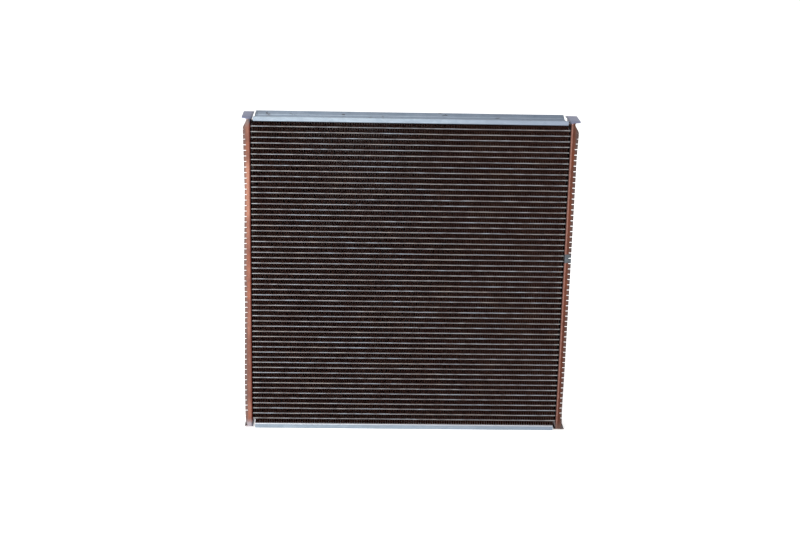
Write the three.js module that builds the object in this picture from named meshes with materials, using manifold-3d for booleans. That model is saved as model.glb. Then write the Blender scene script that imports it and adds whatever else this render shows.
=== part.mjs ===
// A cross-flow radiator core without its tanks. Flat tubes run between two drawn header plates, with a
// corrugated fin layer above and below each tube, and a channel-shaped side plate closes the pack at
// the top and at the bottom. Millimetres: +X along the tubes, +Y to the rear, +Z up, and the origin
// is at the bottom centre, on the floor under the lower side plate.
import * as THREE from "three";
import { mergeVertices } from "three/addons/utils/BufferGeometryUtils.js";
import Module from "manifold-3d";

const wasm = await Module();
wasm.setup();

const GAP = 0.3; // between pieces that are soldered together

// The core
const TUBE_COUNT = 56;
const TUBE_PITCH = 10.5;
const TUBE_THICKNESS = 2.6;
const TUBE_DEPTH = 56;
const TUBE_WALL = 0.45;
const TUBE_SEAM = 0.9; // the two folded walls that meet in the middle of a tube
const TUBE_PAST_BASE = 2.5; // how far a tube stands out of the header plate's base
const CORE_WIDTH = 592; // between the two header plates
const FIN_END_SPACE = 3; // bare tube between a fin layer and the header plate
const FIN_REAR_OVERHANG = 1; // the fin layers end this far behind the tubes

// The strip that joins the fin layers into one solid, behind the tubes
const TIE_WIDTH = 6;

// The header plates: trays of sheet that open away from the core
const HEADER_SHEET = 1.5;
const HEADER_DEPTH = 66;
const HEADER_BEND = 4; // outside radius between the base and the long walls
const HEADER_END_BEND = 1.8; // the same at the end walls
const HEADER_CORNER = 8;
const HEADER_SHORT = 1; // how much lower than the side plate's edge a header plate ends
const END_WALL = 17.5;
const TOOTH_WALL = 12.4;
const TOOTH_SLOT_WIDTH = 1.8;
const TOOTH_SLOT_DEPTH = 5.2;
const TOOTH_SLOT_DROP = 2.7; // from a tube's middle down to the middle of the slot beside it
const TOP_SLOTS_SHIFTED = 2; // the topmost slots sit lower, each a step more than the one below it
const TOP_SLOT_STEP = 1.2;
const TOP_SLOTS_SMALL = 3; // the topmost slots are smaller, each by a share more than the one below it
const SMALL_SLOT_SHARE = 0.2;

// The corner reliefs, which free the long walls from the end walls. Each starts below the end wall
// and leaves this much of the wall standing above the base.
const RELIEF_START = 1.7;
const TOP_RELIEF_HEIGHT = 18.8;
const TOP_RELIEF_TURN = 6;
const TOP_RELIEF_WALL = 7.4;
const BOTTOM_RELIEF_HEIGHT = 12.5;
const BOTTOM_RELIEF_WALL = 8.2;

// The side plates: channels whose flanges point away from the core
const SIDE_SHEET = 1.5;
const SIDE_DEPTH = 62;
const SIDE_HEIGHT = 9.6;
const SIDE_BEND = 3;
const SIDE_END_SPACE = 5;

// A lump of repair solder holds two neighbouring tubes together beside the right header plate
const REPAIRED_TUBE = 24; // counted from the top, joined to the one below it
const REPAIR_LENGTH = 2.2;
const REPAIR_DEPTH = 9;
const REPAIR_BITE = 0.2; // how far the solder goes into each tube's wall

// Worked out from the above
const FIN_SPACE = TUBE_PITCH - TUBE_THICKNESS;
const TOP = (TUBE_COUNT + 1) * TUBE_PITCH - TUBE_THICKNESS + 2 * SIDE_HEIGHT;
const MIDDLE = TOP / 2;
const BASE_X = CORE_WIDTH / 2;
const TUBE_END = BASE_X + HEADER_SHEET + TUBE_PAST_BASE;
const FIN_REAR = TUBE_DEPTH / 2 + FIN_REAR_OVERHANG;
const HEADER_HALF_HEIGHT = MIDDLE - HEADER_SHORT;
const BEYOND = 40; // cutters run this far past what they cut

const ROUND_STEPS = 2; // curve divisions, two steps of an arc each
const BEND_STEPS = 3;

const tubeZ = (number) => MIDDLE + ((TUBE_COUNT + 1) / 2 - number) * TUBE_PITCH;
const countFrom = (first, last) =>
  Array.from({ length: last - first + 1 }, (_, i) => first + i);

function solid(geometry) {
  const bare = new THREE.BufferGeometry();
  const whole = geometry.index ? geometry.toNonIndexed() : geometry;
  bare.setAttribute("position", whole.getAttribute("position"));
  const merged = mergeVertices(bare, 1e-3);
  const vertProperties = merged.attributes.position.array;
  const triVerts = new Uint32Array(merged.index.array);
  return new wasm.Manifold(new wasm.Mesh({ numProp: 3, vertProperties, triVerts }));
}

function geometryOf(made) {
  const { vertProperties, triVerts } = made.getMesh();
  const geometry = new THREE.BufferGeometry();
  geometry.setAttribute("position", new THREE.BufferAttribute(vertProperties, 3));
  geometry.setIndex(new THREE.BufferAttribute(triVerts, 1));
  const faceted = geometry.toNonIndexed();
  faceted.computeVertexNormals();
  return faceted;
}

// An outline drawn in (Y, Z), run along X from one place to another.
function alongX(shapes, fromX, toX, bevel = { bevelEnabled: false }) {
  const settings = { depth: toX - fromX, curveSegments: ROUND_STEPS, ...bevel };
  const geometry = new THREE.ExtrudeGeometry(shapes, settings);
  const toYZX = new THREE.Matrix4().makeBasis(
    new THREE.Vector3(0, 1, 0),
    new THREE.Vector3(0, 0, 1),
    new THREE.Vector3(1, 0, 0),
  );
  return geometry.applyMatrix4(toYZX).translate(fromX, 0, 0);
}

function box(x0, x1, y0, y1, z0, z1) {
  const geometry = new THREE.BoxGeometry(x1 - x0, y1 - y0, z1 - z0);
  return geometry.translate((x0 + x1) / 2, (y0 + y1) / 2, (z0 + z1) / 2);
}

// A flat outline with round ends, thickness high and depth long, its middle at (0, z).
function roundEnded(thickness, depth, z) {
  const radius = thickness / 2;
  const reach = depth / 2 - radius;
  const outline = new THREE.Shape();
  outline.absarc(reach, z, radius, -Math.PI / 2, Math.PI / 2);
  outline.absarc(-reach, z, radius, Math.PI / 2, (3 * Math.PI) / 2);
  return outline;
}

// One of a tube's two water channels: side is 1 for the rear one and -1 for the front one.
function channel(side, z) {
  const radius = TUBE_THICKNESS / 2 - TUBE_WALL;
  const reach = side * (TUBE_DEPTH / 2 - TUBE_THICKNESS / 2);
  const seam = (side * TUBE_SEAM) / 2;
  const outline = new THREE.Path();
  outline.moveTo(seam, z - side * radius);
  const start = (-side * Math.PI) / 2;
  outline.absarc(reach, z, radius, start, start + Math.PI);
  outline.lineTo(seam, z + side * radius);
  outline.closePath();
  return outline;
}

function tubeSolid(number) {
  const z = tubeZ(number);
  const outline = roundEnded(TUBE_THICKNESS, TUBE_DEPTH, z);
  outline.holes.push(channel(1, z), channel(-1, z));
  return solid(alongX(outline, -TUBE_END, TUBE_END));
}

function repairedPair() {
  const right = BASE_X - GAP;
  const front = -TUBE_DEPTH / 2 + TUBE_THICKNESS / 2;
  const half = TUBE_THICKNESS / 2 - REPAIR_BITE;
  const lump = box(
    right - REPAIR_LENGTH,
    right,
    front,
    front + REPAIR_DEPTH,
    tubeZ(REPAIRED_TUBE + 1) + half,
    tubeZ(REPAIRED_TUBE) - half,
  );
  return tubeSolid(REPAIRED_TUBE).add(tubeSolid(REPAIRED_TUBE + 1)).add(solid(lump));
}

// Fin layer n lies above tube n, and the last one lies below the last tube.
function finBank() {
  const halfHeight = FIN_SPACE / 2 - GAP;
  const end = BASE_X - FIN_END_SPACE;
  const front = -TUBE_DEPTH / 2;
  const layers = countFrom(1, TUBE_COUNT + 1).map((number) => {
    const z = tubeZ(number) + TUBE_PITCH / 2;
    const outline = new THREE.Shape();
    outline.moveTo(front, z - halfHeight);
    outline.lineTo(FIN_REAR, z - halfHeight);
    outline.lineTo(FIN_REAR, z + halfHeight);
    outline.lineTo(front, z + halfHeight);
    return outline;
  });
  const tieFront = TUBE_DEPTH / 2 + GAP;
  const tieEnd = (TUBE_COUNT * TUBE_PITCH) / 2;
  const half = TIE_WIDTH / 2;
  const tie = box(-half, half, tieFront, FIN_REAR, MIDDLE - tieEnd, MIDDLE + tieEnd);
  return solid(alongX(layers, -end, end)).add(solid(tie));
}

// The header plate's outline seen along X, moved in from the outside by inset.
function trayOutline(inset, longer) {
  const y = HEADER_DEPTH / 2 - inset;
  const z = HEADER_HALF_HEIGHT + longer - inset;
  const radius = HEADER_CORNER - inset;
  const quarter = Math.PI / 2;
  const outline = new THREE.Shape();
  outline.absarc(y - radius, MIDDLE + z - radius, radius, 0, quarter);
  outline.absarc(-y + radius, MIDDLE + z - radius, radius, quarter, 2 * quarter);
  outline.absarc(-y + radius, MIDDLE - z + radius, radius, 2 * quarter, 3 * quarter);
  outline.absarc(y - radius, MIDDLE - z + radius, radius, 3 * quarter, 4 * quarter);
  return outline;
}

// A block with the tray's outline and a round edge towards the core, from the plane x outwards.
// It is longer than the tray by the given length at each end.
function roundedBlock(x, inset, radius, longer) {
  const bend = radius - inset;
  const bevel = { bevelThickness: bend, bevelSize: bend, bevelSegments: BEND_STEPS };
  return solid(alongX(trayOutline(inset + bend, longer), x + bend, x + BEYOND, bevel));
}

// The tray's block: its edge towards the core is rounder along the long walls than at the ends.
function trayBlock(x, inset) {
  const longBlock = roundedBlock(x, inset, HEADER_BEND, 2 * HEADER_CORNER);
  return longBlock.intersect(roundedBlock(x, inset, HEADER_END_BEND, 0));
}

// What is cut off the long walls: the slots between the teeth, and all that is past the teeth.
function toothCutters() {
  const half = HEADER_DEPTH;
  const rim = BASE_X + TOOTH_WALL;
  const far = BASE_X + BEYOND;
  const straight = HEADER_HALF_HEIGHT - HEADER_CORNER;
  const pastTeeth = box(rim, far, -half, half, MIDDLE - straight, MIDDLE + straight);
  const slots = countFrom(1, TUBE_COUNT - 1).map((number) => {
    const extra = Math.max(0, TOP_SLOTS_SHIFTED + 1 - number) * TOP_SLOT_STEP;
    const z = tubeZ(number) - TOOTH_SLOT_DROP - extra;
    const size = 1 - Math.max(0, TOP_SLOTS_SMALL + 1 - number) * SMALL_SLOT_SHARE;
    const reach = (size * TOOTH_SLOT_WIDTH) / 2;
    return box(rim - size * TOOTH_SLOT_DEPTH, far, -half, half, z - reach, z + reach);
  });
  return [pastTeeth, ...slots].map(solid);
}

// An outline drawn in (X, Z), run through the whole depth of the header plate.
function throughHeader(outline) {
  const settings = { depth: 2 * HEADER_DEPTH, curveSegments: BEND_STEPS, bevelEnabled: false };
  const geometry = new THREE.ExtrudeGeometry(outline, settings);
  return solid(geometry.rotateX(Math.PI / 2).translate(0, HEADER_DEPTH, 0));
}

// The upper relief turns round under the end wall and slopes out to the first tooth.
function topRelief() {
  const top = MIDDLE + HEADER_HALF_HEIGHT;
  const far = BASE_X + BEYOND;
  const inmost = BASE_X + TOP_RELIEF_WALL;
  const outline = new THREE.Shape();
  outline.moveTo(far, top - RELIEF_START);
  outline.lineTo(inmost + TOP_RELIEF_TURN - RELIEF_START, top - RELIEF_START);
  outline.quadraticCurveTo(inmost, top - RELIEF_START, inmost, top - TOP_RELIEF_TURN);
  outline.lineTo(BASE_X + TOOTH_WALL, top - TOP_RELIEF_HEIGHT);
  outline.lineTo(far, top - TOP_RELIEF_HEIGHT);
  return throughHeader(outline);
}

// The lower relief is a plain sloping cut.
function bottomRelief() {
  const bottom = MIDDLE - HEADER_HALF_HEIGHT;
  const far = BASE_X + BEYOND;
  const outline = new THREE.Shape();
  outline.moveTo(far, bottom + RELIEF_START);
  outline.lineTo(far, bottom + BOTTOM_RELIEF_HEIGHT);
  outline.lineTo(BASE_X + TOOTH_WALL, bottom + BOTTOM_RELIEF_HEIGHT);
  outline.lineTo(BASE_X + BOTTOM_RELIEF_WALL, bottom + RELIEF_START);
  return throughHeader(outline);
}

function headerPlate() {
  const past = BASE_X + END_WALL;
  const far = BASE_X + 2 * BEYOND;
  const allPast = box(past, far, -HEADER_DEPTH, HEADER_DEPTH, -BEYOND, TOP + BEYOND);
  const slots = countFrom(1, TUBE_COUNT).map((number) =>
    roundEnded(TUBE_THICKNESS + 2 * GAP, TUBE_DEPTH + 2 * GAP, tubeZ(number)),
  );
  const cutters = [
    trayBlock(BASE_X + HEADER_SHEET, HEADER_SHEET),
    solid(allPast),
    solid(alongX(slots, BASE_X - 1, BASE_X + HEADER_SHEET + 1)),
    ...toothCutters(),
    topRelief(),
    bottomRelief(),
  ];
  return cutters.reduce((left, cutter) => left.subtract(cutter), trayBlock(BASE_X, 0));
}

// The upper channel, with its web against the top fin layer.
function sidePlate() {
  const y = SIDE_DEPTH / 2;
  const web = TOP - SIDE_HEIGHT;
  const inner = SIDE_BEND - SIDE_SHEET;
  const half = Math.PI / 2;
  const outline = new THREE.Shape();
  outline.moveTo(-y, TOP);
  outline.absarc(-y + SIDE_BEND, web + SIDE_BEND, SIDE_BEND, 2 * half, 3 * half);
  outline.absarc(y - SIDE_BEND, web + SIDE_BEND, SIDE_BEND, -half, 0);
  outline.lineTo(y, TOP);
  outline.lineTo(y - SIDE_SHEET, TOP);
  outline.absarc(y - SIDE_BEND, web + SIDE_BEND, inner, 0, -half, true);
  outline.absarc(-y + SIDE_BEND, web + SIDE_BEND, inner, -half, -2 * half, true);
  outline.lineTo(-y + SIDE_SHEET, TOP);
  const end = BASE_X - SIDE_END_SPACE;
  return solid(alongX(outline, -end, end));
}

const looks = {
  tube: { color: 0xb4b7bb, roughness: 0.4, metalness: 0.9 },
  fins: { color: 0x55332a, roughness: 0.6, metalness: 0.7 },
  header: { color: 0xb4694a, roughness: 0.4, metalness: 0.9 },
  side: { color: 0xa9b4bf, roughness: 0.45, metalness: 0.8 },
};

const group = new THREE.Group();

function place(name, made, look) {
  const material = new THREE.MeshStandardMaterial(look);
  const mesh = new THREE.Mesh(geometryOf(made), material);
  mesh.name = name;
  group.add(mesh);
  return mesh;
}

place("header_plate_right", headerPlate(), looks.header);
place("header_plate_left", headerPlate(), looks.header).rotation.z = Math.PI;

place("side_plate_top", sidePlate(), looks.side);
const lower = place("side_plate_bottom", sidePlate(), looks.side);
lower.rotation.x = Math.PI;
lower.position.z = TOP;

place("fin_bank", finBank(), looks.fins);

for (const number of countFrom(1, TUBE_COUNT)) {
  const label = (n) => String(n).padStart(2, "0");
  if (number === REPAIRED_TUBE) {
    place(`tube_${label(number)}_${label(number + 1)}`, repairedPair(), looks.tube);
  } else if (number !== REPAIRED_TUBE + 1) {
    place(`tube_${label(number)}`, tubeSolid(number), looks.tube);
  }
}

export default group;
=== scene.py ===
# The radiator core's finished look: drawn header plates, flat tubes, corrugated fin layers, side
# channels and solder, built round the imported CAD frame. Metres, +X along the tubes, +Y to the rear.
import math

import bmesh
import bpy
import numpy as np
from mathutils import Matrix, Vector
from mathutils.geometry import tessellate_polygon


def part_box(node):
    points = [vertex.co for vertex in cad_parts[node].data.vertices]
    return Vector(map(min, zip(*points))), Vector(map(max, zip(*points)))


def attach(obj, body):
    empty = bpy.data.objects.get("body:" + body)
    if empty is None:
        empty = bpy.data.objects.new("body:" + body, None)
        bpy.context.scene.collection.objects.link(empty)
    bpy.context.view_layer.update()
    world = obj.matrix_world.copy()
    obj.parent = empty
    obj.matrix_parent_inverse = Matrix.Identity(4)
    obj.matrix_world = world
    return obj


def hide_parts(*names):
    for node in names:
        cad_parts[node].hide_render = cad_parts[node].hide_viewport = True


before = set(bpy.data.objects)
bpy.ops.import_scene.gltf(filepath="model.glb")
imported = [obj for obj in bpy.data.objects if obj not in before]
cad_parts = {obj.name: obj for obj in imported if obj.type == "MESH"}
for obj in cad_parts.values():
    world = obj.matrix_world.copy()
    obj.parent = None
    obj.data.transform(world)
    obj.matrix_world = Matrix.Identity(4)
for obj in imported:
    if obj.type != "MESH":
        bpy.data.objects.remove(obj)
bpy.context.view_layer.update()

MM = 0.001
rng = np.random.default_rng(20)

# ---------------------------------------------------------------- places, from the CAD frame
header_low, header_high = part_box("header_plate_right")
side_low, side_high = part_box("side_plate_top")
lower_low, lower_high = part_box("side_plate_bottom")
bank_low, bank_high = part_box("fin_bank")

TUBE_COUNT = 56
FIN_END_SPACE = 3 * MM  # bare tube between the fins and a header plate's base
REPAIRED = (24, 25)  # the two tubes that a lump of solder joins
PAIR_NODE = "tube_24_25"


def tube_node(number):
    return PAIR_NODE if number in REPAIRED else f"tube_{number:02d}"


first_low, first_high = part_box(tube_node(1))
last_low, last_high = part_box(tube_node(TUBE_COUNT))
TUBE_THICKNESS = first_high[2] - first_low[2]
TUBE_FRONT, TUBE_REAR = first_low[1], first_high[1]
TUBE_END = first_high[0]
FIRST_Z = (first_low[2] + first_high[2]) / 2
LAST_Z = (last_low[2] + last_high[2]) / 2
PITCH = (FIRST_Z - LAST_Z) / (TUBE_COUNT - 1)
BASE_X = bank_high[0] + FIN_END_SPACE
HEADER_TOP, HEADER_BOTTOM = header_high[2], header_low[2]
HEADER_HALF_DEPTH = header_high[1]


def tube_z(number):
    return FIRST_Z - (number - 1) * PITCH


# ---------------------------------------------------------------- mesh helpers
def new_piece(name, verts, faces, material, smooth_angle=35):
    mesh = bpy.data.meshes.new(name)
    mesh.from_pydata([tuple(v) for v in verts], [], faces)
    mesh.validate()
    piece = bpy.data.objects.new(name, mesh)
    bpy.context.collection.objects.link(piece)
    dress(piece, material, smooth_angle)
    return piece


def dress(piece, material, smooth_angle):
    mesh = piece.data
    mesh.materials.clear()
    mesh.materials.append(material)
    mesh.shade_smooth()
    mesh.set_sharp_from_angle(angle=math.radians(smooth_angle))


def place(piece, slot, *nodes):
    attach(piece, "root")
    if nodes:
        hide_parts(*nodes)
    return piece


class Builder:
    """Gathers the vertices and faces of one piece."""

    def __init__(self):
        self.verts = []
        self.faces = []

    def add(self, points):
        start = len(self.verts)
        self.verts.extend(points)
        return list(range(start, len(self.verts)))

    def bridge(self, one, two, closed=True):
        count = len(one)
        for i in range(count if closed else count - 1):
            j = (i + 1) % count
            self.faces.append((one[i], one[j], two[j], two[i]))

    def loft(self, rings, caps=True, closed=True, joined=False):
        """Rings of points in order; joined rings close into a loop."""
        ids = [self.add(ring) for ring in rings]
        for one, two in zip(ids, ids[1:]):
            self.bridge(one, two, closed)
        if joined:
            self.bridge(ids[-1], ids[0], closed)
        elif caps:
            self.faces.append(tuple(reversed(ids[0])))
            self.faces.append(tuple(ids[-1]))
        return ids


def arc(centre, radius, start, end, steps):
    """Points on an arc in a plane, angles in degrees, both ends included."""
    angles = np.radians(np.linspace(start, end, steps + 1))
    return [(centre[0] + radius * math.cos(a), centre[1] + radius * math.sin(a)) for a in angles]


def stadium(half_depth, radius, steps):
    """A closed outline (y, z) round a flat tube, its middle at (0, 0)."""
    reach = half_depth - radius
    return arc((reach, 0), radius, -90, 90, steps) + arc((-reach, 0), radius, 90, 270, steps)


def slow_noise(count, step, rng):
    """A smooth random line of count values about 0, with a new direction every step values."""
    knots = rng.normal(size=count // step + 3)
    places = np.arange(count) / step
    whole = places.astype(int)
    share = (1 - np.cos((places - whole) * math.pi)) / 2
    return knots[whole] * (1 - share) + knots[whole + 1] * share


# ---------------------------------------------------------------- material helpers
class Nodes:
    """Short calls for a material's node tree."""

    def __init__(self, name):
        self.material = bpy.data.materials.new(name)
        self.material.use_nodes = True
        self.tree = self.material.node_tree
        self.shader = self.tree.nodes["Principled BSDF"]
        self.place = self.add("ShaderNodeTexCoord").outputs["Object"]

    def add(self, kind, **settings):
        node = self.tree.nodes.new(kind)
        for key, value in settings.items():
            setattr(node, key, value)
        return node

    def put(self, value, socket):
        if isinstance(value, bpy.types.NodeSocket):
            self.tree.links.new(value, socket)
        else:
            socket.default_value = value

    def stretched(self, sx, sy, sz):
        node = self.add("ShaderNodeMapping")
        node.inputs["Scale"].default_value = (sx, sy, sz)
        self.put(self.place, node.inputs["Vector"])
        return node.outputs["Vector"]

    def noise(self, scale, detail=3.0, rough=0.55, vector=None):
        node = self.add("ShaderNodeTexNoise")
        self.put(vector or self.place, node.inputs["Vector"])
        node.inputs["Scale"].default_value = scale
        node.inputs["Detail"].default_value = detail
        node.inputs["Roughness"].default_value = rough
        return node.outputs["Fac"]

    def cells(self, scale, vector=None):
        node = self.add("ShaderNodeTexVoronoi")
        self.put(vector or self.place, node.inputs["Vector"])
        node.inputs["Scale"].default_value = scale
        return node.outputs["Color"]

    def math(self, operation, a, b=0.0, clamp=False):
        node = self.add("ShaderNodeMath", operation=operation, use_clamp=clamp)
        self.put(a, node.inputs[0])
        self.put(b, node.inputs[1])
        return node.outputs[0]

    def step(self, value, low, high, to_low=0.0, to_high=1.0):
        """A smooth rise of value from low to high."""
        node = self.add("ShaderNodeMapRange", interpolation_type="SMOOTHSTEP")
        for socket, number in zip(node.inputs, (value, low, high, to_low, to_high)):
            self.put(number, socket)
        return node.outputs[0]

    def mix(self, share, one, two):
        node = self.add("ShaderNodeMix", data_type="RGBA")
        self.put(share, node.inputs[0])
        for socket, value in ((node.inputs[6], one), (node.inputs[7], two)):
            self.put(value if isinstance(value, bpy.types.NodeSocket) else (*value, 1.0), socket)
        return node.outputs[2]

    def axes(self):
        node = self.add("ShaderNodeSeparateXYZ")
        self.put(self.place, node.inputs[0])
        return node.outputs

    def upward(self):
        """How far the surface faces up, from -1 to 1."""
        node = self.add("ShaderNodeSeparateXYZ")
        self.put(self.add("ShaderNodeNewGeometry").outputs["Normal"], node.inputs[0])
        return node.outputs[2]

    def bump(self, height, distance, strength=1.0):
        node = self.add("ShaderNodeBump")
        node.inputs["Strength"].default_value = strength
        node.inputs["Distance"].default_value = distance
        self.put(height, node.inputs["Height"])
        self.put(node.outputs["Normal"], self.shader.inputs["Normal"])

    def finish(self, colour, roughness, metallic):
        self.put(colour, self.shader.inputs["Base Color"])
        self.put(roughness, self.shader.inputs["Roughness"])
        self.put(metallic, self.shader.inputs["Metallic"])
        return self.material


STRETCH_FADE = 14 * MM  # half the length over which a paler or darker stretch fades out
TIN = (0.29, 0.31, 0.44)
TIN_IN_SHADE = (0.12, 0.13, 0.18)
# Painted shade on the inner side of the upper lips, next to the core.
LIP_PAINTED_SHADE = (0.10, 0.11, 0.14)
SHELF_DARK = (0.11, 0.075, 0.065)
PATCH_DARK, PATCH_LIGHT = (0.055, 0.070, 0.075), (0.13, 0.14, 0.16)
PATCH_HALF_HEIGHT = 8.5 * MM
LIP_LEVEL = 0.45  # only the upper lips, above this height, are darkened


def header_material(name, bright, orange, dull, worn, bend_shade, high_end, low_end,
                    stretches=(), bend_highlight=None, patch_level=None):
    """Drawn copper alloy: tarnish in clouds, painted shade on the bend and the upper lips, worn teeth
    and tinned ends.

    bend_shade is where the painted shade on the bend fades out, between two distances from the base,
    and its colour.
    high_end and low_end are the share and the colour of the tinning on the long walls' ends.
    stretches are paler or darker lengths of the walls: low and high ends, share and colour.
    bend_highlight is the colour of a painted highlight along the bend, and patch_level the height
    of a grey patch of solder on the front wall.
    """
    n = Nodes(name)
    x, y, z = n.axes()
    clouds = n.noise(34.0, 5.0)
    streaks = n.noise(9.0, 4.0, vector=n.stretched(30.0, 6.0, 3.0))
    tarnish = n.step(n.math("ADD", clouds, streaks), 0.80, 1.20)
    copper = n.mix(tarnish, bright, dull)
    flame = n.step(n.noise(22.0, 3.0, 0.5, n.stretched(2.0, 1.0, 1.0)), 0.50, 0.66, 0.0, 0.8)
    copper = n.mix(flame, copper, orange)
    for low, high, share, tone in stretches:
        within = n.math("MULTIPLY", n.step(z, low - STRETCH_FADE, low + STRETCH_FADE, 0.0, share),
                        n.step(z, high - STRETCH_FADE, high + STRETCH_FADE, 1.0, 0.0))
        copper = n.mix(within, copper, tone)
    wobble = n.math("MULTIPLY", n.math("SUBTRACT", n.noise(120.0), 0.5), 6 * MM)
    reach = n.math("SUBTRACT", n.math("ABSOLUTE", x), BASE_X)
    rough_reach = n.math("ADD", reach, n.math("MULTIPLY", wobble, 0.5))
    from_top = n.math("ADD", n.math("SUBTRACT", HEADER_TOP, z), wobble)
    from_bottom = n.math("ADD", n.math("SUBTRACT", z, HEADER_BOTTOM), wobble)
    teeth = n.math("MULTIPLY", n.step(rough_reach, 6.5 * MM, 11 * MM, 0.0, 0.85),
                   n.step(from_bottom, 6 * MM, 16 * MM))
    copper = n.mix(teeth, copper, worn)
    # Painted highlight: a pale line along the bend, where it faces the key light.
    if bend_highlight is not None:
        lit = n.math("MULTIPLY", n.step(rough_reach, -1.4 * MM, -0.4 * MM),
                     n.step(rough_reach, 2.6 * MM, 3.8 * MM, 1.0, 0.0))
        copper = n.mix(lit, copper, bend_highlight)
    colour = n.mix(n.step(from_top, 8 * MM, 21 * MM, high_end[0], 0.0), copper, high_end[1])
    colour = n.mix(n.step(from_top, 2 * MM, 5 * MM, 1.0, 0.0), colour, TIN)
    low_share = n.step(from_bottom, 8 * MM, 20 * MM, low_end[0], 0.0)
    colour = n.mix(low_share, colour, low_end[1])
    if patch_level is not None:
        away = n.math("ABSOLUTE", n.math("SUBTRACT", z, patch_level))
        away = n.math("ADD", away, n.math("MULTIPLY", wobble, 0.9))
        forward = n.step(y, -HEADER_HALF_DEPTH + 2 * MM, -HEADER_HALF_DEPTH + 9 * MM, 1.0, 0.0)
        near = n.step(away, PATCH_HALF_HEIGHT - 1 * MM, PATCH_HALF_HEIGHT + 1 * MM, 1.0, 0.0)
        patch = n.math("MULTIPLY", near, forward)
        tone = n.mix(n.noise(150.0, 2.0), PATCH_DARK, PATCH_LIGHT)
        colour = n.mix(patch, colour, tone)
    # Painted shade on the bend and the base next to it, which face away from the key light; near the
    # ends it takes the colour of tin in shade.
    at_end = n.math("MAXIMUM", n.step(from_top, 5 * MM, 14 * MM, 1.0, 0.0),
                    n.step(from_bottom, 5 * MM, 14 * MM, 1.0, 0.0))
    bend_shade_low, bend_shade_high, bend_shade_colour = bend_shade
    bend_shade_tone = n.mix(at_end, bend_shade_colour, TIN_IN_SHADE)
    upper_face = n.step(n.math("SUBTRACT", HEADER_TOP, z), 1.2 * MM, 3 * MM, 0.9, 0.0)
    lower_face = n.step(n.math("SUBTRACT", z, HEADER_BOTTOM), 1.2 * MM, 3 * MM, 0.9, 0.0)
    end_face = n.math("MAXIMUM", upper_face, lower_face)
    bend_shade_share = n.math("MULTIPLY", n.step(reach, bend_shade_low, bend_shade_high, 1.0, 0.0),
                   n.math("SUBTRACT", 1.0, end_face))
    colour = n.mix(bend_shade_share, colour, bend_shade_tone)
    # Painted shade on the inner side of the upper lips, next to the core.
    upper = n.step(z, LIP_LEVEL - 50 * MM, LIP_LEVEL + 50 * MM)
    lip = n.math("MULTIPLY", n.step(reach, -2.2 * MM, 1.0 * MM, 0.55, 0.0), upper)
    colour = n.mix(lip, colour, LIP_PAINTED_SHADE)
    # Darker on upward faces near the bottom end of the header.
    shelf = n.math("MULTIPLY", n.step(from_bottom, 2 * MM, 6 * MM, 1.0, 0.0),
                   n.step(n.upward(), 0.2, 0.7))
    colour = n.mix(shelf, colour, SHELF_DARK)
    roughness = n.step(n.noise(70.0, 4.0), 0.3, 0.75, 0.32, 0.5)
    n.bump(n.noise(260.0, 3.0), 0.12 * MM, 0.5)
    return n.finish(colour, roughness, 0.85)


def tube_material():
    """Solder-dipped brass: a bright mottled coat with stains, paler ends as painted light where the
    fins no longer shade the tubes, and painted shade on the undersides.
    """
    n = Nodes("tube_solder_coat")
    x = n.axes()[0]
    mottle = n.noise(14.0, 5.0, 0.65, n.stretched(4.0, 1.0, 40.0))
    grain = n.noise(420.0, 2.0)
    dull = n.step(mottle, 0.36, 0.62)
    hue = n.step(n.noise(5.0, 3.0, 0.6, n.stretched(2.0, 1.0, 50.0)), 0.35, 0.65)
    coat = n.mix(hue, (0.38, 0.35, 0.33), (0.38, 0.43, 0.49))
    colour = n.mix(dull, coat, (0.19, 0.18, 0.185))
    stain = n.step(n.noise(55.0, 4.0, 0.6, n.stretched(1.0, 1.0, 8.0)), 0.56, 0.72, 0.0, 0.7)
    colour = n.mix(stain, colour, (0.17, 0.125, 0.11))
    # Painted light: the tubes' ends paler, where the fins no longer shade them.
    ends = n.step(n.math("ABSOLUTE", x), BASE_X - 14 * MM, BASE_X - 8 * MM, 0.0, 0.5)
    colour = n.mix(ends, colour, (0.50, 0.52, 0.52))
    # Painted shade on the tubes' undersides.
    underside_shade = n.step(n.upward(), -0.75, 0.3, 1.0, 0.0)
    colour = n.mix(underside_shade, colour, (0.022, 0.020, 0.026))
    n.bump(grain, 0.1 * MM, 0.6)
    return n.finish(colour, n.step(grain, 0.3, 0.7, 0.35, 0.55), 0.85)


def fin_material():
    """Copper foil, heat-oxidised dark brown, with a few paler specks."""
    n = Nodes("fin_dark_copper")
    clouds = n.noise(24.0, 4.0)
    colour = n.mix(n.step(clouds, 0.35, 0.7), (0.105, 0.036, 0.026), (0.145, 0.060, 0.042))
    # Paler specks scattered over the foil.
    specks = n.step(n.noise(900.0, 2.0), 0.64, 0.74, 0.0, 0.25)
    colour = n.mix(specks, colour, (0.22, 0.16, 0.14))
    return n.finish(colour, n.step(n.noise(180.0), 0.3, 0.7, 0.5, 0.7), 0.4)


LOWER_CHANNEL = (20 * MM, 30 * MM)  # the lower channel is below this fading range
STEEL_FILM_AND_LIGHT = (0.43, 0.48, 0.55)
STEEL_DIRT = (0.12, 0.10, 0.10)
STEEL_FAR_SHADE = (0.23, 0.27, 0.35)
STEEL_LOW_SHADE = (0.22, 0.27, 0.33)
STEEL_UNDERSIDE_SHADE = (0.030, 0.040, 0.060)
STEEL_UPPER_LIGHT = (0.84, 0.86, 0.92)


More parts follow.
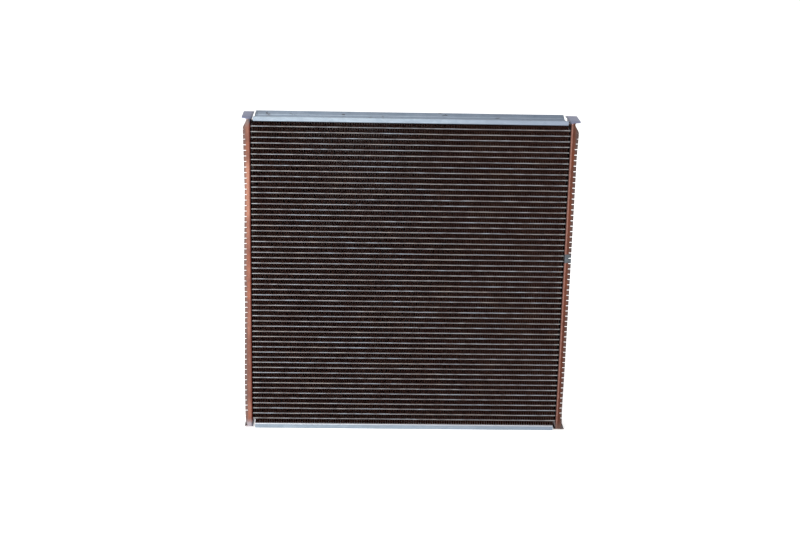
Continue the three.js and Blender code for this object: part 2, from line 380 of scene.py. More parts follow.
def steel_material():
    """Galvanised sheet: faint spangle, handling marks, and dirt and a paler film behind the front
    flange, the film made paler still as painted light.

    It has painted shade towards +X, on the lower channel and underneath, and painted light on the
    lower channel's upper faces.
    """
    n = Nodes("side_galvanised")
    x, y, z = n.axes()
    tone = n.add("ShaderNodeSeparateColor")
    n.put(n.cells(110.0), tone.inputs[0])
    spangle = n.mix(tone.outputs[0], (0.34, 0.42, 0.50), (0.42, 0.50, 0.58))
    brushed = n.noise(9.0, 4.0, 0.6, n.stretched(3.0, 30.0, 30.0))
    colour = n.mix(n.step(brushed, 0.4, 0.75, 0.0, 0.5), spangle, (0.32, 0.36, 0.41))
    behind = n.step(y, -30 * MM, -29 * MM, 0.0, 1.0)
    # A paler film behind the front flange, made paler still as painted light where the flange shades
    # the sheet behind it.
    soiled = n.noise(60.0, 5.0, 0.7, n.stretched(1.0, 2.0, 3.0))
    film = n.math("MULTIPLY", behind, n.step(soiled, 0.35, 0.6, 0.35, 0.8))
    colour = n.mix(film, colour, STEEL_FILM_AND_LIGHT)
    dirt = n.step(n.noise(46.0, 5.0, 0.7, n.stretched(1.0, 1.0, 3.0)), 0.60, 0.70)
    colour = n.mix(n.math("MULTIPLY", dirt, n.math("ADD", behind, 0.12)), colour, STEEL_DIRT)
    # Painted shade: darker towards +X, away from the key light, less so behind the front flange.
    far_shade = n.math("MULTIPLY", n.step(x, -0.3 * BASE_X, BASE_X, 0.0, 0.75),
                  n.math("SUBTRACT", 1.0, n.math("MULTIPLY", behind, 0.6)))
    colour = n.mix(far_shade, colour, STEEL_FAR_SHADE)
    # Painted shade on the lower channel, further from the key light.
    colour = n.mix(n.step(z, *LOWER_CHANNEL, 0.4, 0.0), colour, STEEL_LOW_SHADE)
    # Painted shade on the undersides.
    underside_shade = n.step(n.upward(), -0.85, -0.15, 0.9, 0.0)
    colour = n.mix(underside_shade, colour, STEEL_UNDERSIDE_SHADE)
    # Painted light on the lower channel's upper faces, which the core shades.
    over = n.math("MULTIPLY", n.step(n.upward(), 0.2, 0.7), n.step(z, *LOWER_CHANNEL, 0.9, 0.0))
    colour = n.mix(over, colour, STEEL_UPPER_LIGHT)
    n.bump(n.noise(300.0, 2.0), 0.05 * MM, 0.4)
    return n.finish(colour, n.step(brushed, 0.3, 0.7, 0.34, 0.5), 0.8)


def solder_material():
    """Grey solder, with painted shade on the core side between the header plates, and dull on the tank
    side.
    """
    n = Nodes("solder_grey")
    x = n.axes()[0]
    tone = n.noise(90.0, 4.0)
    colour = n.mix(n.step(tone, 0.35, 0.7), (0.45, 0.46, 0.48), (0.26, 0.26, 0.27))
    # Painted shade on the solder at the core side of the base, in the gap that the bend shades.
    inside = n.step(n.math("ABSOLUTE", x), BASE_X - 0.4 * MM, BASE_X + 0.8 * MM, 1.0, 0.0)
    colour = n.mix(inside, colour, (0.060, 0.050, 0.048))
    tank_side = n.step(n.math("ABSOLUTE", x), BASE_X + 0.8 * MM, BASE_X + 1.6 * MM, 0.0, 0.6)
    colour = n.mix(tank_side, colour, (0.17, 0.17, 0.18))
    n.bump(n.noise(240.0, 3.0), 0.2 * MM, 0.7)
    return n.finish(colour, n.step(tone, 0.3, 0.7, 0.28, 0.48), 0.85)


def plug_material():
    """Solder with a film of copper tarnish."""
    n = Nodes("solder_plug")
    tone = n.noise(160.0, 4.0)
    colour = n.mix(n.step(tone, 0.35, 0.7), (0.32, 0.18, 0.15), (0.20, 0.12, 0.10))
    n.bump(n.noise(240.0, 3.0), 0.2 * MM, 0.7)
    return n.finish(colour, 0.45, 0.7)


FLOOR_GLOW = 0.6


def floor_material():
    """White paper, lit a little from below so that only a faint shadow shows."""
    n = Nodes("floor_paper")
    tone = n.noise(1.5, 2.0)
    colour = n.mix(tone, (0.87, 0.87, 0.87), (0.89, 0.89, 0.89))
    n.shader.inputs["Emission Color"].default_value = (1.0, 1.0, 1.0, 1.0)
    n.shader.inputs["Emission Strength"].default_value = FLOOR_GLOW
    return n.finish(colour, 0.9, 0.0)


# ---------------------------------------------------------------- tubes
TUBE_WALL = 0.45 * MM
TUBE_SEAM = 0.9 * MM
TUBE_NOSE_STEPS = 10
TUBE_STATIONS = 49
TUBE_WANDER = 0.10 * MM
TUBE_SWELL = 0.06 * MM


def tube_section():
    """The tube's outer outline and its two channels, as (y, z) about its middle."""
    middle = (TUBE_FRONT + TUBE_REAR) / 2
    half = (TUBE_REAR - TUBE_FRONT) / 2
    outer = stadium(half, TUBE_THICKNESS / 2, TUBE_NOSE_STEPS)
    inner_radius = TUBE_THICKNESS / 2 - TUBE_WALL
    reach = half - TUBE_THICKNESS / 2
    rear = [(TUBE_SEAM / 2, -inner_radius)] + arc((reach, 0), inner_radius, -90, 90, 6)
    rear.append((TUBE_SEAM / 2, inner_radius))
    front = [(-y, -z) for y, z in rear]
    return [[(y + middle, z) for y, z in outline] for outline in (outer, rear, front)]


def flat_tube(number, outlines, ends, material):
    z0 = tube_z(number)
    xs = np.linspace(-TUBE_END, TUBE_END, TUBE_STATIONS)
    hold = np.clip((TUBE_END - np.abs(xs)) / (30 * MM), 0, 1)
    wander = TUBE_WANDER * slow_noise(TUBE_STATIONS, 6, rng) * hold
    swell = TUBE_SWELL * slow_noise(TUBE_STATIONS, 2, rng) * hold
    builder = Builder()
    end_ids = ([], [])
    for index, outline in enumerate(outlines):
        rings = []
        for x, dz, dy in zip(xs, wander, swell):
            push = dy if index == 0 else 0.0
            rings.append([(x, y + math.copysign(push, y), z0 + dz + z) for y, z in outline])
        if index:
            ids = [list(reversed(ring)) for ring in builder.loft(
                [list(reversed(ring)) for ring in rings], caps=False)]
        else:
            ids = builder.loft(rings, caps=False)
        end_ids[0].extend(ids[0])
        end_ids[1].extend(ids[-1])
    for a, b, c in ends:
        builder.faces.append((end_ids[0][c], end_ids[0][b], end_ids[0][a]))
        builder.faces.append((end_ids[1][a], end_ids[1][b], end_ids[1][c]))
    piece = new_piece(f"flat_tube_{number:02d}", builder.verts, builder.faces, material)
    mend_normals(piece)
    return place(piece, "tube_solder", tube_node(number))


def mend_normals(piece):
    work = bmesh.new()
    work.from_mesh(piece.data)
    bmesh.ops.recalc_face_normals(work, faces=work.faces)
    work.to_mesh(piece.data)
    work.free()


def flat_tubes(material):
    outlines = tube_section()
    ends = tessellate_polygon([[Vector((y, z, 0)) for y, z in o] for o in outlines])
    for number in range(1, TUBE_COUNT + 1):
        flat_tube(number, outlines, ends, material)


# ---------------------------------------------------------------- fins
FIN_PERIOD = 4.6 * MM
FIN_FOIL = 0.12 * MM
FIN_STEPS = 10
FIN_SQUARENESS = 1.9
FIN_JITTER = 0.16 * MM


def fin_layer(number, low_z, high_z, material):
    """One corrugated strip between two tubes, or between a tube and a side plate."""
    low_x, high_x = bank_low[0], bank_high[0]
    waves = int((high_x - low_x) / FIN_PERIOD)
    count = waves * FIN_STEPS + 1
    phase = np.linspace(0, waves * 2 * math.pi, count) + rng.uniform(0, 2 * math.pi)
    jitter = np.repeat(rng.normal(size=2 * waves + 2), FIN_STEPS // 2)[:count] * FIN_JITTER
    xs = np.linspace(low_x, high_x, count) + np.convolve(jitter, np.ones(5) / 5, "same")
    xs = np.clip(xs, low_x, high_x)
    reach = (high_z - low_z) / 2 - FIN_FOIL / 2
    zs = (low_z + high_z) / 2 + reach * np.tanh(FIN_SQUARENESS * np.sin(phase)) / math.tanh(
        FIN_SQUARENESS)
    along = np.stack([np.gradient(xs), np.gradient(zs)], axis=1)
    along /= np.linalg.norm(along, axis=1, keepdims=True)
    off_x, off_z = -along[:, 1] * FIN_FOIL / 2, along[:, 0] * FIN_FOIL / 2
    front, rear = TUBE_FRONT, bank_high[1]
    rings = [
        [(x + dx, front, z + dz), (x + dx, rear, z + dz),
         (x - dx, rear, z - dz), (x - dx, front, z - dz)]
        for x, z, dx, dz in zip(xs, zs, off_x, off_z)
    ]
    builder = Builder()
    builder.loft(rings)
    piece = new_piece(f"fin_layer_{number:02d}", builder.verts, builder.faces, material, 50)
    mend_normals(piece)
    return place(piece, "fin_copper", "fin_bank")


def fin_layers(material):
    half = TUBE_THICKNESS / 2
    gap = PITCH - TUBE_THICKNESS
    for number in range(1, TUBE_COUNT + 2):
        low = tube_z(number) + half
        fin_layer(number, low, low + gap, material)


# ---------------------------------------------------------------- header plates
SHEET = 1.5 * MM
BEND = 4 * MM
END_BEND = 1.8 * MM
CORNER = 8 * MM
END_WALL = header_high[0] - BASE_X
TOOTH_WALL = 12.4 * MM
SLOT_WIDTH = 1.8 * MM
SLOT_DEPTH = 5.2 * MM
SLOT_DROP = 2.7 * MM
TOP_SLOTS_SHIFTED = 2
TOP_SLOT_STEP = 1.2 * MM
TOP_SLOTS_SMALL = 3
SMALL_SLOT_SHARE = 0.2
RELIEF_START = 1.7 * MM
TOP_RELIEF_HEIGHT = 18.8 * MM
TOP_RELIEF_TURN = 6 * MM
TOP_RELIEF_WALL = 7.4 * MM
BOTTOM_RELIEF_HEIGHT = 12.5 * MM
BOTTOM_RELIEF_WALL = 8.2 * MM
HOLE_CLEARANCE = 0.25 * MM
SLOT_PROFILE = ((1.0, 1.0), (0.71, 0.29), (0.0, 0.0), (-0.71, 0.29), (-1.0, 1.0))


def slot_z(number):
    extra = max(0, TOP_SLOTS_SHIFTED + 1 - number) * TOP_SLOT_STEP
    return tube_z(number) - SLOT_DROP - extra


def slot_size(number):
    return 1 - max(0, TOP_SLOTS_SMALL + 1 - number) * SMALL_SLOT_SHARE


def rim_height(z):
    """How far the wall stands out from the base at height z."""
    below_top = HEADER_TOP - z
    above_bottom = z - HEADER_BOTTOM
    if below_top < RELIEF_START or above_bottom < RELIEF_START:
        return END_WALL
    if below_top < TOP_RELIEF_TURN:
        share = (TOP_RELIEF_TURN - below_top) / (TOP_RELIEF_TURN - RELIEF_START)
        return TOP_RELIEF_WALL + (TOP_RELIEF_TURN - RELIEF_START) * (1 - math.sqrt(1 - share**2))
    if below_top < TOP_RELIEF_HEIGHT:
        share = (below_top - TOP_RELIEF_TURN) / (TOP_RELIEF_HEIGHT - TOP_RELIEF_TURN)
        return TOP_RELIEF_WALL + share * (TOOTH_WALL - TOP_RELIEF_WALL)
    if above_bottom < BOTTOM_RELIEF_HEIGHT:
        share = (above_bottom - RELIEF_START) / (BOTTOM_RELIEF_HEIGHT - RELIEF_START)
        return BOTTOM_RELIEF_WALL + share * (TOOTH_WALL - BOTTOM_RELIEF_WALL)
    return TOOTH_WALL


class Column:
    """One place on the header's perimeter: a point well inside the outline and a way out of it."""

    def __init__(self, y, z, out_y, out_z, floor_of_slot=None, cut_after=False):
        self.inner = (y, z)
        self.out = (out_y, out_z)
        self.floor_of_slot = floor_of_slot
        self.cut_after = cut_after
        self.rim = rim_height(z + out_z * CORNER)
        self.bend = BEND + (END_BEND - BEND) * out_z**2

    def point(self, inset, height):
        reach = CORNER - inset
        y = self.inner[0] + self.out[0] * reach
        z = self.inner[1] + self.out[1] * reach
        return (height, y, z)

    def bent(self, angle):
        """A point on the bend between the base, at 0, and the wall, at a right angle."""
        return self.point(self.bend * (1 - math.sin(angle)), self.bend * (1 - math.cos(angle)))


def long_side_columns(side):
    """Columns of a long wall from the top down, with the heights where each tube's cell ends."""
    y = side * (HEADER_HALF_DEPTH - CORNER)
    columns = []

    def add(z, floor_of_slot=None, cut_after=False):
        columns.append(Column(y, z, side, 0, floor_of_slot, cut_after))

    start = HEADER_TOP - CORNER
    for below in (CORNER, 10.5 * MM, 13 * MM):
        add(HEADER_TOP - below)
    half = SLOT_WIDTH / 2
    borders = []
    for number in range(1, TUBE_COUNT + 1):
        z = tube_z(number)
        top = borders[-1][1] if borders else z + 2.3 * MM
        borders.append((top, 0))
        add(top)
        if top - z > 3 * MM:
            add(z + 2 * MM)
        add(z)
        if number < TUBE_COUNT:
            middle = slot_z(number)
            size = slot_size(number)
            last = len(SLOT_PROFILE) - 1
            for place_in, (across, up) in enumerate(SLOT_PROFILE):
                floor_of_slot = TOOTH_WALL - size * (SLOT_DEPTH - up * half)
                add(middle + across * size * half, floor_of_slot, place_in < last)
            bottom = min(z - PITCH / 2, middle - half - 0.6 * MM)
        else:
            add(z - 2 * MM)
            bottom = z - 4 * MM
        borders[-1] = (top, bottom)
    add(borders[-1][1])
    add(HEADER_BOTTOM + CORNER)
    assert start >= columns[0].inner[1]
    return columns, borders


def corner_columns(side, up):
    """Columns round one corner, between a long wall and an end wall."""
    y = side * (HEADER_HALF_DEPTH - CORNER)
    z = HEADER_TOP - CORNER if up > 0 else HEADER_BOTTOM + CORNER
    turns = (12, 24, 36, 46, 52, 60, 75)
    return [
        Column(y, z, side * math.cos(math.radians(t)), up * math.sin(math.radians(t)))
        for t in turns
    ]


def end_columns(up):
    z = HEADER_TOP - CORNER if up > 0 else HEADER_BOTTOM + CORNER
    reach = HEADER_HALF_DEPTH - CORNER
    return [Column(y, z, 0, up) for y in np.linspace(reach, -reach, 9)]


def header_skin():
    """The plate's core-side skin for a header that opens towards +X, at heights from its base."""
    builder = Builder()
    rear, borders = long_side_columns(1)
    front, _ = long_side_columns(-1)
    top = corner_columns(1, 1) + end_columns(1) + list(reversed(corner_columns(-1, 1)))
    bottom = corner_columns(1, -1) + end_columns(-1) + list(reversed(corner_columns(-1, -1)))
    around = list(reversed(rear)) + top + front + list(reversed(bottom))

    turns = np.radians(np.linspace(0, 90, 6))
    rows = [builder.add([column.bent(angle) for column in around]) for angle in turns]
    low_row, cut_row, rim_row = [], [], []
    for column in around:
        steady = min(TOOTH_WALL - SLOT_DEPTH + SLOT_WIDTH / 2, column.rim - 1.2 * MM)
        cut = steady if column.floor_of_slot is None else column.floor_of_slot
        low_row.append(column.point(0, 5 * MM))
        cut_row.append(column.point(0, cut))
        rim_row.append(column.point(0, column.rim))
    rows += [builder.add(low_row), builder.add(cut_row)]
    for one, two in zip(rows, rows[1:]):
        builder.bridge(one, two)
    rim = builder.add(rim_row)
    count = len(around)
    for i in range(count):
        j = (i + 1) % count
        cut_here = around[i].cut_after if around[i] in front else around[j].cut_after
        in_slot = around[i].floor_of_slot is not None and around[j].floor_of_slot is not None
        if in_slot and cut_here:
            continue
        builder.faces.append((rows[-1][i], rows[-1][j], rim[j], rim[i]))
    header_base(builder, rows[0], around, rear, front, borders)
    return builder


def header_base(builder, edge, around, rear, front, borders):
    """The flat base, with a round-ended hole for each tube."""
    index = {id(column): edge[i] for i, column in enumerate(around)}
    across = np.linspace(1, -1, 7)[1:-1]
    half = HEADER_HALF_DEPTH - BEND
    hole_half = TUBE_REAR + HOLE_CLEARANCE
    hole_radius = TUBE_THICKNESS / 2 + HOLE_CLEARANCE
    reach = hole_half - hole_radius
    line = None
    first_line = None
    for number, (top, bottom) in enumerate(borders, start=1):
        rear_ids = [index[id(c)] for c in rear if bottom - 1e-9 <= c.inner[1] <= top + 1e-9]
        front_ids = [index[id(c)] for c in front if bottom - 1e-9 <= c.inner[1] <= top + 1e-9]
        if line is None:
            line = builder.add([(0.0, half * a, top) for a in across])
            first_line = [rear_ids[0], *line, front_ids[0]]
        upper = line
        line = builder.add([(0.0, half * a, bottom) for a in across])
        outer = [*rear_ids[::-1], *upper, *front_ids, *reversed(line)]
        z = tube_z(number)
        steps = len(rear_ids) - 1
        hole = arc((reach, z), hole_radius, -90, 90, steps)
        hole += [(reach * a, z + hole_radius) for a in across]
        hole += arc((-reach, z), hole_radius, 90, 270, steps)
        hole += [(-reach * a, z - hole_radius) for a in across]
        inner = builder.add([(0.0, y, zz) for y, zz in hole])
        builder.bridge(outer, inner)
        last_line = [rear_ids[-1], *line, front_ids[-1]]
    ends = [index[id(c)] for c in around]
    first, second = ends.index(first_line[0]), ends.index(first_line[-1])
    builder.faces.append(tuple(ends[first:second + 1] + first_line[-2:0:-1]))
    first, second = ends.index(last_line[-1]), ends.index(last_line[0])
    around_bottom = ends[first:] + ends[:second + 1]
    builder.faces.append(tuple(around_bottom + last_line[1:-1]))


def header_plate(name, side, material, node):
    """side is 1 for the right header and -1 for the left one, which is the right one turned round."""
    builder = header_skin()
    verts = [(side * (BASE_X + h), side * y, z) for h, y, z in builder.verts]
    mesh = bpy.data.meshes.new(name + "_skin")
    mesh.from_pydata(verts, [], builder.faces)
    work = bmesh.new()
    work.from_mesh(mesh)
    bmesh.ops.recalc_face_normals(work, faces=work.faces)
    base = min(work.faces, key=lambda f: (abs(f.normal.x) < 0.9, abs(f.calc_center_median().x)))
    if base.normal.x * side > 0:
        bmesh.ops.reverse_faces(work, faces=work.faces)
    bow_walls(work, side)
    lean_teeth(work, side)
    work.to_mesh(mesh)
    work.free()
    piece = bpy.data.objects.new(name, mesh)
    bpy.context.collection.objects.link(piece)
    solid = piece.modifiers.new("sheet", "SOLIDIFY")
    solid.thickness = SHEET
    solid.offset = -1
    solid.use_even_offset = True
    bevel = piece.modifiers.new("edges", "BEVEL")
    bevel.width = EDGE_BEVEL
    bevel.segments = 2
    bevel.limit_method = "ANGLE"
    bevel.angle_limit = math.radians(50)
    settle(piece, name)
    dress(piece, material, 40)
    return place(piece, "header_brass", node)


# The lips' length, and its share in each place: 1 is the right header and -1 the left one
END_LIP = 3.2 * MM
UPPER_LIP_SHARE = {1: 1.1, -1: 1.3}
LOWER_LIP_SHARE = {1: 0.9, -1: 0.3}
# How the lips grow round a corner: (turn in degrees from the long wall, share of the lip) pairs
UPPER_LIP_CORNER = ((30, 0.35), (46, 0.8), (60, 1.0), (75, 1.0))
LOWER_LIP_CORNER = ((60, 0.6), (75, 1.0))
# A lip's section: (share of its length along X from the base, mm in from the wall's face) pairs
LIP_PROFILE = ((-1.0, 1.2), (-1.0, 0.25), (-0.93, 0.05), (0.45, 0.0), (0.7, 0.08), (0.7, 1.4),
               (-0.93, 1.4))


def end_lips(name, side, material):
    """Strips that carry the end walls a little past the base, towards the core."""
    for place_name, up in (("upper", 1), ("lower", -1)):
        z = HEADER_TOP - CORNER if up > 0 else HEADER_BOTTOM + CORNER
        reach = HEADER_HALF_DEPTH - CORNER
        turns = UPPER_LIP_CORNER if up > 0 else LOWER_LIP_CORNER
        whole = UPPER_LIP_SHARE[side] if up > 0 else LOWER_LIP_SHARE[side]
        corner = [(math.radians(turn), share * whole) for turn, share in turns]
        columns = [(Column(reach, z, math.cos(a), up * math.sin(a)), share) for a, share in corner]
        columns += [(column, whole) for column in end_columns(up)]
        columns += [(Column(-reach, z, -math.cos(a), up * math.sin(a)), share)
                    for a, share in reversed(corner)]
        rings = []
        for column, share in columns:
            points = [column.point(inset * MM, END_LIP * along * (share if along < 0 else 1))
                      for along, inset in LIP_PROFILE]
            rings.append([(side * (BASE_X + x), side * y, zz) for x, y, zz in points])
        builder = Builder()
        builder.loft(rings)
        piece = new_piece(f"{name}_{place_name}", builder.verts, builder.faces, material, 40)
        mend_normals(piece)
        place(piece, "header_brass")


LEFT_END_TRIM = 2 * MM
TOOTH_LEAN = 0.22 * MM
EDGE_BEVEL = 0.16 * MM
# A wall is bent between these two distances from the base, and moved as a whole past them
WALL_ROOT = 5 * MM
WALL_STIFF = 7 * MM
# How far the toothed walls are bent out along X: (height on the radiator, distance) pairs in mm
RIGHT_BOW = ((9, 0), (45, -1.1), (130, -0.2), (300, 0.4), (550, 0.8), (592, 2.6), (606, 0))
LEFT_BOW = ((9, 0), (30, 1.2), (110, 2.0), (245, 0.2), (330, 1.2), (475, -1.4), (595, 1.2), (606, 0))
LEFT_REAR_BOW = ((9, 0), (30, 2.8), (265, 2.8), (320, 1.0), (475, -0.6), (606, 0))


def bow_walls(work, side):
    """Bends the long walls in and out, more and more from their root up to where they are stiff.

    The left header's end walls are trimmed a little.
    """
    for vert in work.verts:
        height = vert.co.x * side - BASE_X
        if side < 0 and height > END_WALL - 0.1 * MM:
            vert.co.x -= side * LEFT_END_TRIM
            continue
        if abs(vert.co.y) < HEADER_HALF_DEPTH - 0.01 * MM or height <= WALL_ROOT:
            continue
        bow = RIGHT_BOW if side > 0 else LEFT_BOW if vert.co.y < 0 else LEFT_REAR_BOW
        heights, distances = zip(*bow)
        share = min(1.0, (height - WALL_ROOT) / (WALL_STIFF - WALL_ROOT))
        vert.co.x += side * share * float(np.interp(vert.co.z / MM, heights, distances)) * MM


def lean_teeth(work, side):
    """Bends each tooth a little, as handling does."""
    lean = rng.normal(size=(2, TUBE_COUNT + 2)) * TOOTH_LEAN
    for vert in work.verts:
        height = vert.co.x * side - BASE_X
        if height > TOOTH_WALL - 2.5 * MM and abs(vert.co.y) > HEADER_HALF_DEPTH - 1 * MM:
            number = int(round((FIRST_Z - SLOT_DROP - PITCH / 2 - vert.co.z) / PITCH)) + 1
            row = 0 if vert.co.y < 0 else 1
            vert.co.y += lean[row][min(max(number, 0), TUBE_COUNT + 1)]


def settle(piece, name):
    """Turns a piece's modifiers into plain mesh."""
    graph = bpy.context.evaluated_depsgraph_get()
    mesh = bpy.data.meshes.new_from_object(piece.evaluated_get(graph))
    piece.modifiers.clear()
    piece.data = mesh
    mesh.name = name


# ---------------------------------------------------------------- side plates
SIDE_SHEET = 1.5 * MM
SIDE_BEND = 3 * MM
SIDE_STATIONS = 80
SIDE_WANDER = 0.12 * MM
REAR_FLANGE_CUT = 2.2 * MM


def channel_outline(half, web, edge):
    """The upper channel's section (y, z): a web below and two flanges up to edge."""
    inner = SIDE_BEND - SIDE_SHEET
    low = web + SIDE_BEND
    lip = 0.3 * MM
    outline = [(-half, edge - lip)]
    outline += arc((-half + SIDE_BEND, low), SIDE_BEND, 180, 270, 7)
    outline += [(y, web) for y in np.linspace(-half, half, 8)[1:-1]]
    outline += arc((half - SIDE_BEND, low), SIDE_BEND, -90, 0, 7)
    outline += [(half, edge - lip), (half - lip, edge)]
    outline += [(half - SIDE_SHEET + lip, edge), (half - SIDE_SHEET, edge - lip)]
    outline += arc((half - SIDE_BEND, low), inner, 0, -90, 5)
    outline += [(y, web + SIDE_SHEET) for y in np.linspace(half, -half, 8)[1:-1]]
    outline += arc((-half + SIDE_BEND, low), inner, -90, -180, 5)
    outline += [(-half + SIDE_SHEET, edge - lip), (-half + SIDE_SHEET - lip, edge), (-half + lip, edge)]
    return outline


def channel(name, node, material, low, high, upright):
    half = high[1]
    height = high[2] - low[2]
    outline = channel_outline(half, 0.0, height)
    xs = np.linspace(low[0], high[0], SIDE_STATIONS)
    wander = SIDE_WANDER * slow_noise(SIDE_STATIONS, 9, rng)
    ripple = SIDE_WANDER * slow_noise(SIDE_STATIONS, 4, rng)
    rings = []
    for x, dz, dy in zip(xs, wander, ripple):
        ring = []
        for y, z in outline:
            share = z / height
            drop = min(0.0, dz) * share
            yy = y - math.copysign(abs(dy) * share, y)
            rear = y > 0 if upright else y < 0
            cut = REAR_FLANGE_CUT if rear and z > SIDE_BEND else 0.0
            xx = min(max(x, low[0] + cut), high[0] - cut)
            ring.append((xx, yy, low[2] + z + drop) if upright else (xx, -yy, high[2] - z - drop))
        rings.append(ring)
    builder = Builder()
    builder.loft(rings)
    piece = new_piece(name, builder.verts, builder.faces, material, 30)
    mend_normals(piece)
    return place(piece, "side_steel", node)


# ---------------------------------------------------------------- solder
FILLET_STEPS = 8
LUMPINESS = 0.12
# The fillets' outlines in mm: (out from the tube, along X from the base) pairs
TANK_SIDE_FILLET = ((-0.1, 3.6), (0.15, 3.3), (0.35, 2.5), (0.9, 1.95), (1.9, 1.6), (1.9, 1.3),
                    (-0.1, 1.3))
CORE_SIDE_FILLET = ((-0.1, -1.3), (0.1, -1.2), (0.25, -0.6), (0.6, -0.25), (1.0, -0.05), (1.0, 0.2),
                    (-0.1, 0.2))


def fillet_ring(builder, z0, profile, side):
    """A band of solder round a tube: profile is (out from the tube, x from the base) pairs."""
    outlines = []
    for out, height in profile:
        half = TUBE_REAR + out
        radius = TUBE_THICKNESS / 2 + out
        around = stadium(half, radius, FILLET_STEPS)
        lumps = 1 + LUMPINESS * slow_noise(len(around), 3, rng) * (1 if out > 0.2 * MM else 0)
        outlines.append([
            (side * (BASE_X + height), side * y, z0 + z * float(k))
            for (y, z), k in zip(around, lumps)
        ])
    builder.loft(outlines, joined=True)


def solder_joints(name, side, material):
    """Fillets where the tubes leave the header's base, on the tank side and on the core side."""
    builder = Builder()
    for number in range(1, TUBE_COUNT + 1):
        for profile in (TANK_SIDE_FILLET, CORE_SIDE_FILLET):
            shape = [(out * MM, height * MM) for out, height in profile]
            fillet_ring(builder, tube_z(number), shape, side)
    piece = new_piece(name, builder.verts, builder.faces, material)
    mend_normals(piece)
    return place(piece, "tube_solder")


BLOB_STEPS = 28
BLOB_WAVE = 0.10
BLOB_SQUARENESS = 0.45
# A lump's dome: shares of its half width and of its thickness
BLOB_DOME = ((1.0, -0.3), (1.0, 0.05), (0.93, 0.45), (0.78, 0.75), (0.5, 0.95), (0.15, 1.0))


def blob(name, centre, across, up, out, half_width, half_height, thickness, material, nodes=()):
    """A flattened lump of solder: a dome along out, over an uneven round outline."""
    wave = 1 + BLOB_WAVE * slow_noise(BLOB_STEPS, 4, rng)
    wave[-3:] = np.linspace(wave[-3], wave[0], 3)
    builder = Builder()
    rings = []
    for share, rise in BLOB_DOME:
        ring = []
        for k in range(BLOB_STEPS):
            a = 2 * math.pi * k / BLOB_STEPS
            square = 1 / max(abs(math.cos(a)), abs(math.sin(a))) ** BLOB_SQUARENESS
            reach = share * wave[k] * square
            offset = (across * (half_width * reach * math.cos(a))
                      + up * (half_height * reach * math.sin(a)) + out * (thickness * rise))
            ring.append(tuple(centre + offset))
        rings.append(ring)
    builder.loft(rings)
    piece = new_piece(name, builder.verts, builder.faces, material, 60)
    mend_normals(piece)
    return place(piece, "tube_solder", *nodes)


def repairs(material, plug):
    """The lump that joins two tubes, and solder in the last slot of the left header's front wall."""
    x_axis, y_axis, z_axis = Vector((1, 0, 0)), Vector((0, 1, 0)), Vector((0, 0, 1))
    pair_low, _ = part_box(PAIR_NODE)
    gap = PITCH - TUBE_THICKNESS
    level = (tube_z(REPAIRED[0]) + tube_z(REPAIRED[1])) / 2
    between = Vector((BASE_X - 1.2 * MM, pair_low[1] + 5.5 * MM, level))
    blob("repair_bridge", between, y_axis, z_axis, -x_axis, 4.2 * MM, gap / 2, 1.2 * MM, material,
         (PAIR_NODE,))
    slot = Vector((-BASE_X - TOOTH_WALL + 2.4 * MM, -HEADER_HALF_DEPTH + 0.4 * MM,
                   slot_z(TUBE_COUNT - 1)))
    blob("slot_plug", slot, x_axis, z_axis, -y_axis, 2.9 * MM, 1.7 * MM, 0.7 * MM, plug)


# ---------------------------------------------------------------- camera, light and floor
CAMERA_LENS = 67.5
CAMERA_PLACE = (-0.0998, -2.752, 1.139)
CAMERA_TILT = 16.523
CAMERA_TURN = 1.784
CAMERA_ROLL = 1.209

KEY_POWER = 95
KEY_SIZE = 1.8
KEY_PLACE = (-1.9, -2.3, 2.6)
SKY_STRENGTH = 0.65
FLOOR_REACH = 30.0
FLOOR_LEVEL = -0.3 * MM


def camera():
    data = bpy.data.cameras.new("camera")
    data.lens = CAMERA_LENS
    data.sensor_width = 36
    data.clip_end = 100
    eye = bpy.data.objects.new("camera", data)
    eye.matrix_world = (
        Matrix.Translation(CAMERA_PLACE)
        @ Matrix.Rotation(math.radians(-CAMERA_TURN), 4, "Z")
        @ Matrix.Rotation(math.radians(90 - CAMERA_TILT), 4, "X")
        @ Matrix.Rotation(math.radians(CAMERA_ROLL), 4, "Z")
    )
    bpy.context.collection.objects.link(eye)
    bpy.context.scene.camera = eye


def aimed(lamp, place_at, target):
    lamp.location = place_at
    lamp.rotation_euler = (Vector(target) - Vector(place_at)).to_track_quat("-Z", "Y").to_euler()
    bpy.context.collection.objects.link(lamp)


def studio():
    middle = (0, 0, (side_high[2] + lower_low[2]) / 2)
    key_data = bpy.data.lights.new("key", "AREA")
    key_data.energy = KEY_POWER
    key_data.shape = "RECTANGLE"
    key_data.size = KEY_SIZE
    key_data.size_y = KEY_SIZE
    aimed(bpy.data.objects.new("key", key_data), KEY_PLACE, middle)
    world = bpy.data.worlds.new("studio")
    world.use_nodes = True
    sky = world.node_tree.nodes["Background"]
    sky.inputs["Color"].default_value = (1.0, 1.0, 1.0, 1.0)
    sky.inputs["Strength"].default_value = SKY_STRENGTH
    bpy.context.scene.world = world
    bpy.context.scene.view_settings.view_transform = "Standard"


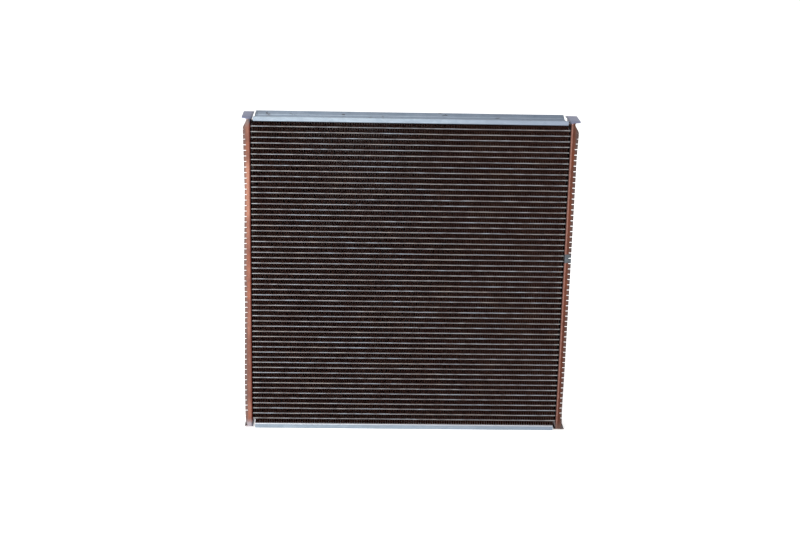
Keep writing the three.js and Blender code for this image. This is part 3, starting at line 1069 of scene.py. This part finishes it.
def floor():
    signs = ((-1, -1), (1, -1), (1, 1), (-1, 1))
    corners = [(x * FLOOR_REACH, y * FLOOR_REACH, FLOOR_LEVEL) for x, y in signs]
    mesh = bpy.data.meshes.new("floor")
    mesh.from_pydata(corners, [], [(0, 1, 2, 3)])
    mesh.materials.append(floor_material())
    sheet = bpy.data.objects.new("floor", mesh)
    bpy.context.collection.objects.link(sheet)


# ---------------------------------------------------------------- the radiator core
camera()
studio()
floor()

solder = solder_material()
steel = steel_material()
repair_level = (tube_z(REPAIRED[0]) + tube_z(REPAIRED[1])) / 2
copper_left = header_material(
    "header_copper_left",
    bright=(0.38, 0.172, 0.120),
    orange=(0.37, 0.125, 0.068),
    dull=(0.24, 0.106, 0.081),
    worn=(0.16, 0.11, 0.10),
    bend_shade=(0.3 * MM, 3.2 * MM, (0.185, 0.028, 0.015)),
    high_end=(0.75, (0.22, 0.19, 0.185)),
    low_end=(0.9, (0.38, 0.35, 0.38)),
    stretches=((0.418, 0.530, 0.5, (0.60, 0.29, 0.20)),
               (0.050, 0.190, 0.6, (0.18, 0.076, 0.056)),
               (0.535, 0.620, 0.35, (0.20, 0.095, 0.072))),
)
# The same alloy as the left header: these darker colours are partly its own tarnish and partly painted
# shade, away from the key light.
copper_right_shaded = header_material(
    "header_copper_right_shaded",
    bright=(0.136, 0.044, 0.026),
    orange=(0.143, 0.040, 0.018),
    dull=(0.098, 0.034, 0.021),
    worn=(0.098, 0.068, 0.062),
    bend_shade=(-0.9 * MM, 0.5 * MM, (0.100, 0.022, 0.013)),
    high_end=(0.25, (0.12, 0.08, 0.07)),
    low_end=(0.7, (0.115, 0.070, 0.056)),
    stretches=((-0.05, 0.235, 0.75, (0.080, 0.024, 0.014)),),
    bend_highlight=(0.255, 0.122, 0.096),
    patch_level=repair_level + 1.5 * MM,
)

flat_tubes(tube_material())
fin_layers(fin_material())
header_plate("drawn_header_right", 1, copper_right_shaded, "header_plate_right")
header_plate("drawn_header_left", -1, copper_left, "header_plate_left")
end_lips("end_lip_right", 1, copper_right_shaded)
end_lips("end_lip_left", -1, copper_left)
channel("channel_top", "side_plate_top", steel, side_low, side_high, True)
channel("channel_bottom", "side_plate_bottom", steel, lower_low, lower_high, False)
solder_joints("solder_joints_right", 1, solder)
solder_joints("solder_joints_left", -1, solder)
repairs(solder, plug_material())
